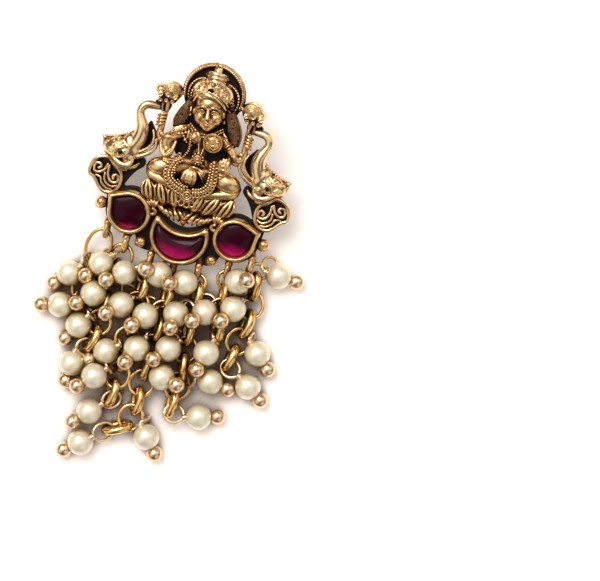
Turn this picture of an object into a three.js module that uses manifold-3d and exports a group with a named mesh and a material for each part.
// A chandbali earring, lying on its back on a flat surface: a cast temple plaque with a seated figure,
// two elephants and three red stones, and below it a cluster of seven short chains with pearl drops.
// The ear post behind the plaque props its head end up, so the plaque slopes down to the pearls.
// Millimetres. +X is to the right, +Y runs from the pearls to the halo, +Z is up from the surface.

import * as THREE from 'three';
import { mergeVertices } from 'three/addons/utils/BufferGeometryUtils.js';
import Module from 'manifold-3d';

const wasm = await Module();
wasm.setup();

// ---------------------------------------------------------------- driving dimensions

const GAP = 0.25; // clearance between pieces that touch on the real earring

// the plaque has its own frame: x to the right, v along the plaque to the halo, w out of its back plane
const TILT = THREE.MathUtils.degToRad(16);
const PLAQUE_FOOT = { y: 0.75, z: 1.1 }; // where its v = 0, w = 0 line lies
const FRAME_T = 1.4; // dark base frame
const BEZEL_T = 3.0;
const BEZEL_W = 0.55;
const STONE_FLOOR = 1.2;
const STONE_TOP = 3.5;

const HALO = { v: 27.9, r: 4.85, t: 1.3, rope: 0.32 };
const HEAD = { v: 25.3, w: 2.6, rx: 2.4, rv: 2.85, rw: 2.2 };
const TEARDROP = { x: 8.55, v: 6.65, r: 3.4, tipX: 12.25, tipV: 8.8 };
const CRESCENT = { v: 5.1, r: 4.65, biteV: 10.6, biteR: 4.96 };
const POST = { v: 26, r: 0.45, padR: 1.9, padT: 0.6 };

const PEARL_R = 1.95;
const PEARL_BORE_R = 0.42;
const PIN_R = 0.22;
const BALL_R = 0.9;
const BALL_AT = 3.0; // from the pearl's centre out to the centre of the pin's ball
const EYE_AT = 2.9; // from the pearl's centre back to the middle of the pin's wire eye
const EYE_R = 0.5;
const CHAIN_R = 0.8;

// loops on the frame's lower rim, one for each chain
const LOOP = { ring: 0.72, wire: 0.34, w: 1.0 };
const LOOPS = [
  { x: -11.5, v: 3.7 },
  { x: -8.1, v: 2.1 },
  { x: -3.7, v: 0.5 },
  { x: 0.2, v: -0.35 },
  { x: 4.1, v: 0.6 },
  { x: 8.6, v: 2.3 },
  { x: 12.0, v: 4.0 },
];

// the chains' routes over the surface, from the plaque's loop to the last ring
const ROUTES = [
  [[-11.8, 2.5, 2.4], [-12.5, -0.4, 1.0], [-12.8, -3.4, 0.9], [-12.9, -6.6, 0.9], [-12.4, -9.2, 0.9]],
  [[-8.2, 0.9, 1.9], [-8.5, -0.9, 0.9], [-8.7, -5.0, 0.9], [-8.9, -10.2, 0.9], [-9.5, -14.6, 0.9]],
  [[-3.7, -0.7, 1.6], [-3.9, -4.4, 0.9], [-4.0, -10.4, 0.9], [-3.9, -16.4, 0.9], [-4.2, -22.9, 0.9]],
  [[0.3, -1.6, 1.3], [0.4, -8.6, 0.9], [0.2, -16.6, 0.9], [0.3, -24.0, 0.9], [-3.2, -28.0, 0.9]],
  [[4.3, -0.6, 1.6], [5.2, -2.6, 1.0], [5.0, -9.6, 0.9], [5.8, -16.0, 0.9], [5.4, -22.8, 0.9]],
  [[8.7, 1.1, 1.9], [8.9, -1.6, 0.9], [9.3, -5.6, 0.9], [9.9, -9.2, 0.9]],
  [[12.3, 2.8, 2.4], [13.5, 0.4, 0.9], [13.9, -4.2, 0.9], [13.6, -8.8, 0.9], [13.3, -12.4, 0.9]],
];

// pearls: strand, centre, then where the pin's ball end points: heading in plan (degrees from +X)
// and rise above the surface
const PEARL_COLUMNS = ['strand', 'x', 'y', 'z', 'heading', 'rise'];
const PEARLS = [
  [1, -15.5, -5.2, 2.0, -134, -15],
  [2, -10.9, -2.5, 3.1, -127, 5],
  [3, -7.0, -2.9, 3.6, -143, 15],
  [4, -1.6, -1.7, 3.5, 172, 48],
  [5, 2.6, -1.9, 3.4, -162, 42],
  [6, 10.7, 0.4, 3.7, 21, 60],
  [7, 16.7, 2.9, 2.0, -3, -15],
  [2, -10.9, -7.3, 3.1, -136, 5],
  [1, -15.6, -10.4, 2.0, -166, 0],
  [2, -12.0, -12.8, 2.0, -122, -10],
  [3, -6.2, -7.9, 3.3, -134, 34],
  [4, -2.0, -8.6, 3.5, -129, 36],
  [5, 2.6, -7.1, 3.4, -94, 44],
  [6, 6.9, -5.7, 3.4, -130, 44],
  [7, 11.1, -4.0, 3.4, -120, 32],
  [3, -6.7, -15.7, 2.2, -140, -8],
  [4, -2.0, -13.9, 3.5, -113, 24],
  [5, 2.8, -12.7, 3.4, -129, 25],
  [6, 8.8, -11.8, 3.4, -105, 14],
  [7, 16.6, -9.9, 2.0, -42, -15],
  [2, -11.5, -18.9, 2.0, -95, -15],
  [3, -7.4, -19.9, 3.2, -135, 5],
  [4, 3.0, -17.3, 3.4, -10, 28],
  [5, 10.5, -16.1, 2.2, -9, -10],
  [7, 16.5, -15.3, 2.0, -34, -15],
  [3, -6.8, -25.6, 2.2, -134, 5],
  [4, -6.9, -30.7, 2.0, -141, -15],
  [4, 3.0, -27.2, 2.0, -50, -15],
  [5, 10.2, -22.0, 2.0, 15, -15],
].map((row) => Object.fromEntries(PEARL_COLUMNS.map((name, i) => [name, row[i]])));

// ---------------------------------------------------------------- materials

const material = (color, roughness, metalness) =>
  new THREE.MeshStandardMaterial({ color, roughness, metalness });
const antiqueGold = () => material(0xb98a3c, 0.38, 0.9);
const chainGold = () => material(0xd6a552, 0.28, 1.0);
const postMetal = () => material(0xc9a467, 0.3, 1.0);
const redStone = () => material(0x5a0a26, 0.12, 0.0);
const pearlWhite = () => material(0xeee6d2, 0.25, 0.0);

// ---------------------------------------------------------------- solids

// a closed solid from any three.js geometry, with its vertices welded and its slivers dropped
function solid(geometry) {
  const bare = new THREE.BufferGeometry();
  bare.setAttribute('position', geometry.getAttribute('position'));
  bare.setIndex(geometry.index);
  const welded = mergeVertices(bare, 1e-4);
  const source = welded.index.array;
  const corners = [];
  for (let i = 0; i < source.length; i += 3) {
    const [a, b, c] = [source[i], source[i + 1], source[i + 2]];
    if (a !== b && b !== c && c !== a) corners.push(a, b, c);
  }
  return new wasm.Manifold(new wasm.Mesh({
    numProp: 3,
    vertProperties: new Float32Array(welded.getAttribute('position').array),
    triVerts: new Uint32Array(corners),
  }));
}

const join = (solids) => solids.reduce((whole, piece) => whole.add(piece));

function meshOf(name, body, finish) {
  const data = body.getMesh();
  const geometry = new THREE.BufferGeometry();
  geometry.setAttribute('position', new THREE.BufferAttribute(data.vertProperties, 3));
  geometry.setIndex(new THREE.BufferAttribute(data.triVerts, 1));
  const mesh = new THREE.Mesh(geometry.toNonIndexed(), finish);
  mesh.geometry.computeVertexNormals();
  mesh.name = name;
  return mesh;
}

const outline = (points) => new THREE.Shape(points.map(([x, v]) => new THREE.Vector2(x, v)));

// a flat plate from w = bottom to w = top, its front edge rounded over by soften
function slab(shape, bottom, top, soften = 0.3) {
  const geometry = new THREE.ExtrudeGeometry(shape, {
    depth: top - bottom - 2 * soften,
    bevelEnabled: soften > 0,
    bevelThickness: soften,
    bevelSize: soften,
    bevelOffset: -soften,
    bevelSegments: 1,
    curveSegments: 20,
  });
  return solid(geometry.translate(0, 0, bottom + soften));
}

// a plate that starts square on its back, so that it sits flat on w = 0
const plate = (shape, top, soften = 0.3) => slab(shape, -soften, top, soften);

// a smooth dome: an ellipsoid with its centre at x, v, w
function dome(x, v, w, rx, rv, rw, turn = 0, around = 9, down = 5) {
  const ball = new THREE.SphereGeometry(1, around, down);
  ball.scale(rx, rv, rw).rotateZ(turn).translate(x, v, w);
  return solid(ball);
}

// a round limb, wire or trunk along a smooth curve through the points
function limb(points, radius, sides = 6, steps = 3) {
  const path = new THREE.CatmullRomCurve3(points.map((p) => new THREE.Vector3(...p)));
  const section = new THREE.Shape();
  section.absarc(0, 0, radius, 0, 2 * Math.PI);
  const geometry = new THREE.ExtrudeGeometry(section, {
    extrudePath: path,
    steps: steps * (points.length - 1),
    curveSegments: sides / 2,
  });
  return solid(geometry);
}

// ---------------------------------------------------------------- outlines of the three settings

// a circle drawn out to a tip; the inset moves its whole edge inwards
function teardrop(side, inset) {
  const { x, v, r, tipX, tipV } = TEARDROP;
  const reach = Math.hypot(tipX - x, tipV - v);
  const toTip = Math.atan2(tipV - v, tipX - x);
  const touch = Math.acos(r / reach);
  const steps = 16;
  const points = [];
  for (let i = 0; i <= steps; i++) {
    const angle = toTip + touch + (i / steps) * (2 * Math.PI - 2 * touch);
    points.push([side * (x + (r - inset) * Math.cos(angle)), v + (r - inset) * Math.sin(angle)]);
  }
  const tip = (reach * (r - inset)) / r;
  points.push([side * (x + tip * Math.cos(toTip)), v + tip * Math.sin(toTip)]);
  return outline(points);
}

// a disc with a round bite out of its upper side
function crescent(inset) {
  const { v, r, biteV, biteR } = CRESCENT;
  const outer = r - inset;
  const bite = biteR + inset;
  const apart = biteV - v;
  const hornUp = (apart * apart + outer * outer - bite * bite) / (2 * apart);
  const hornOut = Math.sqrt(outer * outer - hornUp * hornUp);
  const trim = 0.14;
  const start = Math.atan2(hornUp, -hornOut) + trim;
  const end = Math.atan2(hornUp, hornOut) + 2 * Math.PI - trim;
  const biteStart = Math.atan2(hornUp - apart, hornOut) - trim;
  const biteEnd = Math.atan2(hornUp - apart, -hornOut) + trim;
  const points = [];
  const around = 18;
  for (let i = 0; i <= around; i++) {
    const angle = start + (i / around) * (end - start);
    points.push([outer * Math.cos(angle), v + outer * Math.sin(angle)]);
  }
  const across = 8;
  for (let i = 0; i <= across; i++) {
    const angle = biteStart + (i / across) * (biteEnd - biteStart);
    points.push([bite * Math.cos(angle), biteV + bite * Math.sin(angle)]);
  }
  return outline(points);
}

const cup = (shapeAt) =>
  plate(shapeAt(0), BEZEL_T).subtract(slab(shapeAt(BEZEL_W), STONE_FLOOR, BEZEL_T + 1, 0));

// a cabochon: flat behind, domed in front
function cabochon(shape, spread) {
  const bottom = STONE_FLOOR + GAP;
  const side = 0.7;
  const domeHeight = STONE_TOP - bottom - side;
  const geometry = new THREE.ExtrudeGeometry(shape, {
    depth: side,
    bevelThickness: domeHeight,
    bevelSize: spread,
    bevelOffset: -spread,
    bevelSegments: 3,
  });
  const body = solid(geometry.translate(0, 0, bottom));
  const below = solid(new THREE.BoxGeometry(40, 40, 4).translate(0, 5, bottom - 2));
  return body.subtract(below);
}

// ---------------------------------------------------------------- the plaque

function settings() {
  const rim = 0.55;
  const parts = [cup(crescent), plate(crescent(-rim), FRAME_T)];
  for (const side of [-1, 1]) {
    parts.push(cup((inset) => teardrop(side, inset)), plate(teardrop(side, -rim), FRAME_T));
    // the web between teardrop, crescent and lotus seat
    const web = [[3.8, 6.9], [3.4, 1.2], [6.4, 1.6], [7.0, 4.4], [6.2, 9.6], [4.6, 9.4]];
    parts.push(plate(outline(web.map(([x, v]) => [side * x, v])), FRAME_T));
    parts.push(dome(side * 13.2, 6.9, 1.5, 1.0, 1.0, 1.0));
    parts.push(dome(side * 5.75, 2.4, 1.9, 0.85, 0.85, 0.85));
    parts.push(limb([[side * 11.2, 7.2, 0.8], [side * 13.0, 6.9, 0.9]], 0.7));
  }
  return parts;
}

function hangingLoops() {
  return LOOPS.flatMap(({ x, v }) => {
    const ring = new THREE.TorusGeometry(LOOP.ring, LOOP.wire, 5, 8);
    ring.rotateY(Math.PI / 2).translate(x, v, LOOP.w);
    const root = [x, v + LOOP.ring, LOOP.w];
    const seat = [x * 0.93, v + LOOP.ring + 1.1, LOOP.w - 0.2];
    return [solid(ring), limb([root, seat], 0.42, 6, 1)];
  });
}

function lotusSeat() {
  const up = [[-6.0, 9.8], [-7.2, 12.2], [-6.6, 13.4], [6.6, 13.4], [7.2, 12.2], [6.0, 9.8]];
  const down = [[-6.2, 10.0], [-5.2, 7.7], [-2.6, 8.0], [0, 6.9], [2.6, 8.0], [5.2, 7.7], [6.2, 10.0]];
  const parts = [plate(outline(up), 2.0), plate(outline(down), 1.9)];
  for (const x of [-5.9, -3.9, -2.0, 0, 2.0, 3.9, 5.9]) {
    parts.push(dome(x, 11.5, 1.8, 1.08, 1.75, 1.3, -x * 0.05, 7, 5));
  }
  for (const x of [-4.9, -2.5, 0, 2.5, 4.9]) {
    parts.push(dome(x, 8.8 - 0.03 * (25 - x * x), 1.5, 1.3, 1.0, 1.1, 0, 7, 5));
  }
  return parts;
}

function figure() {
  const parts = [
    dome(0, HEAD.v, HEAD.w, HEAD.rx, HEAD.rv, HEAD.rw, 0, 12, 8), // head
    dome(0, 28.7, 1.8, 3.8, 2.3, 1.7, 0, 12, 6), // crown, wide tier
    plate(outline([[-1.95, 29.8], [1.95, 29.8], [1.75, 31.9], [-1.75, 31.9]]), 2.7), // crown, upper tier
    plate(outline([[-0.8, 31.6], [0.8, 31.6], [0.7, 33.2], [-0.7, 33.2]]), 2.3), // crown, knob
    dome(0, 20.0, 1.2, 3.5, 4.0, 2.3, 0, 12, 6), // torso
    dome(1.75, 20.5, 3.0, 1.4, 1.4, 1.0), // round boss
    dome(0, 17.7, 3.0, 0.95, 0.95, 0.8, 0, 8, 4), // flower pendant
    dome(0, 14.9, 2.4, 2.1, 1.5, 1.7), // gathered drape
    plate(outline([[-6.4, 13.0], [6.4, 13.0], [5.6, 17.0], [-5.6, 17.0]]), 1.8), // folded legs
    limb([[-3.0, 21.4, 2.2], [-5.0, 19.4, 2.4], [-4.6, 17.6, 2.8], [-3.4, 16.0, 3.0]], 0.75), // giving arm
    limb([[3.0, 21.2, 2.2], [4.7, 19.6, 2.4], [4.2, 17.8, 3.2]], 0.7), // blessing arm
    dome(4.1, 17.5, 3.2, 0.9, 1.6, 0.6, 0, 8, 4), // raised palm
  ];
  for (const side of [-1, 1]) {
    parts.push(dome(side * 4.1, 23.2, 0.9, 1.45, 2.9, 1.2, side * 0.35)); // hair drape on the shoulder
    parts.push(dome(side * 5.3, 15.2, 1.7, 2.15, 1.5, 1.7)); // knee
    parts.push(dome(side * 6.6, 26.5, 1.3, 2.05, 2.0, 1.5)); // lotus bud
    parts.push(limb([
      [side * 3.2, 21.6, 1.8], [side * 5.4, 19.3, 2.0], [side * 6.7, 20.4, 2.0],
      [side * 6.7, 22.8, 1.8], [side * 6.6, 25.2, 1.4],
    ], 0.8)); // upper arm, holding the bud's stem
    parts.push(limb([[side * 4.2, 26.6, 0.7], [side * 5.6, 26.4, 0.8]], 0.7)); // bud to halo
  }
  return parts;
}

function halo() {
  const disc = new THREE.CylinderGeometry(HALO.r, HALO.r, 2 * HALO.t, 22).rotateX(Math.PI / 2);
  const rope = new THREE.TorusGeometry(HALO.r - HALO.rope, HALO.rope, 5, 22);
  return [
    solid(disc.translate(0, HALO.v, 0)),
    solid(rope.translate(0, HALO.v, HALO.t)),
  ];
}

function elephant(side) {
  const place = (points) => outline(points.map(([x, v]) => [side * x, v]));
  const lift = (points) => points.map(([x, v, w]) => [side * x, v, w]);
  const head = [
    [10.0, 19.2], [12.2, 18.9], [14.7, 17.9], [14.5, 16.2], [13.9, 14.9],
    [12.4, 14.3], [10.6, 13.5], [8.2, 14.5], [9.3, 16.4], [9.6, 18.0],
  ];
  const ear = [
    [13.6, 14.9], [15.3, 14.2], [16.1, 12.9], [16.0, 11.4], [14.6, 10.3],
    [12.7, 9.0], [11.1, 9.7], [10.7, 11.3], [11.5, 13.4],
  ];
  const neck = [[8.2, 14.6], [11.6, 14.0], [11.6, 9.6], [10.2, 9.6]];
  return [
    plate(place(head), 2.2),
    dome(side * 11.4, 16.5, 1.8, 2.3, 2.2, 1.7),
    plate(place(ear), 2.4),
    plate(place(neck), 1.6),
    limb(lift([
      [11.0, 17.0, 1.9], [9.3, 19.3, 1.9], [9.3, 21.0, 1.8],
      [10.1, 22.5, 1.7], [9.7, 24.1, 1.6], [7.6, 24.6, 1.4],
    ]), 0.88, 7), // trunk, curled up to the bud
    limb(lift([[9.9, 15.0, 1.6], [8.0, 16.4, 1.7], [6.8, 18.0, 1.6], [6.9, 19.8, 1.5]]), 0.42), // lip
  ];
}

function plaque() {
  const front = new THREE.BoxGeometry(60, 60, 12).translate(0, 15, 6);
  const relief = join([
    ...settings(), ...hangingLoops(), ...lotusSeat(), ...halo(), ...figure(), ...elephant(-1), ...elephant(1),
  ]);
  return relief.intersect(solid(front));
}

// the post stands square on the plaque's back, and its rounded end is on the surface
function earPost() {
  const back = PLAQUE_FOOT.z + POST.v * Math.sin(TILT);
  const length = (back - POST.r) / Math.cos(TILT) - GAP;
  const profile = [
    [0, 0], [POST.padR, 0], [POST.padR, -POST.padT], [POST.r, -POST.padT],
    [POST.r, -length + 1.6], [POST.r - 0.12, -length + 1.3], [POST.r, -length + 1.0], [POST.r, -length],
    [POST.r * 0.7, -length - POST.r * 0.7], [0, -length - POST.r],
  ].reverse();
  const turned = new THREE.LatheGeometry(profile.map(([r, h]) => new THREE.Vector2(r, h)), 10);
  return solid(turned.rotateX(Math.PI / 2).translate(0, POST.v, -GAP));
}

// ---------------------------------------------------------------- pearls and their head pins

const heading = ({ heading: plan, rise }) => {
  const [a, b] = [plan, rise].map(THREE.MathUtils.degToRad);
  return new THREE.Vector3(Math.cos(b) * Math.cos(a), Math.cos(b) * Math.sin(a), Math.sin(b));
};

// a bored pearl along its pin
function pearl(row) {
  const steps = 6;
  const open = Math.asin(PEARL_BORE_R / PEARL_R);
  const profile = [];
  for (let i = 0; i <= steps; i++) {
    const angle = open + (i / steps) * (Math.PI - 2 * open);
    profile.push(new THREE.Vector2(PEARL_R * Math.sin(angle), -PEARL_R * Math.cos(angle)));
  }
  profile.push(profile[0].clone());
  const turned = solid(new THREE.LatheGeometry(profile, 10));
  return { body: turned, row };
}

// the pin's ball end, its shank through the pearl, and its wire eye reaching down to the chain
function headPin(row, route) {
  const centre = new THREE.Vector3(row.x, row.y, row.z);
  const along = heading(row);
  const at = (distance) => centre.clone().addScaledVector(along, distance).toArray();
  const ball = new THREE.SphereGeometry(BALL_R, 7, 5).translate(...at(BALL_AT));
  const eye = new THREE.Vector3(...at(-EYE_AT));
  const hook = nearestOn(route, eye);
  return join([
    solid(ball),
    limb([at(-EYE_AT), at(BALL_AT)], PIN_R, 5, 1),
    limb([at(-PEARL_R - GAP), at(-EYE_AT), hook.toArray()], EYE_R, 5, 1),
  ]);
}

function nearestOn(route, point) {
  let best = route.getPoint(0);
  for (let i = 1; i <= 60; i++) {
    const candidate = route.getPoint(i / 60);
    if (candidate.distanceTo(point) < best.distanceTo(point)) best = candidate;
  }
  return best;
}

function strand(number) {
  const points = ROUTES[number - 1];
  const route = new THREE.CatmullRomCurve3(points.map((p) => new THREE.Vector3(...p)));
  const pins = PEARLS.filter((row) => row.strand === number).map((row) => headPin(row, route));
  return join([limb(points, CHAIN_R, 7, 3), ...pins]);
}

// ---------------------------------------------------------------- the assembly

const earring = new THREE.Group();

const tilted = new THREE.Group();
tilted.position.set(0, PLAQUE_FOOT.y, PLAQUE_FOOT.z);
tilted.rotation.x = TILT;
tilted.add(meshOf('plaque', plaque(), antiqueGold()));
tilted.add(meshOf('stone_left', cabochon(teardrop(-1, BEZEL_W + GAP), 1.3), redStone()));
tilted.add(meshOf('stone_right', cabochon(teardrop(1, BEZEL_W + GAP), 1.3), redStone()));
tilted.add(meshOf('stone_crescent', cabochon(crescent(BEZEL_W + GAP), 0.3), redStone()));
tilted.add(meshOf('ear_post', earPost(), postMetal()));
earring.add(tilted);

ROUTES.forEach((_, i) => earring.add(meshOf(`strand_${i + 1}`, strand(i + 1), chainGold())));

PEARLS.forEach((row, i) => {
  const mesh = meshOf(`pearl_${String(i + 1).padStart(2, '0')}`, pearl(row).body, pearlWhite());
  mesh.position.set(row.x, row.y, row.z);
  mesh.quaternion.setFromUnitVectors(new THREE.Vector3(0, 1, 0), heading(row));
  earring.add(mesh);
});

// the origin is the middle of the footprint, on the surface
const box = new THREE.Box3().setFromObject(earring, true);
earring.position.set(-(box.min.x + box.max.x) / 2, -(box.min.y + box.max.y) / 2, -box.min.z);

export default earring;
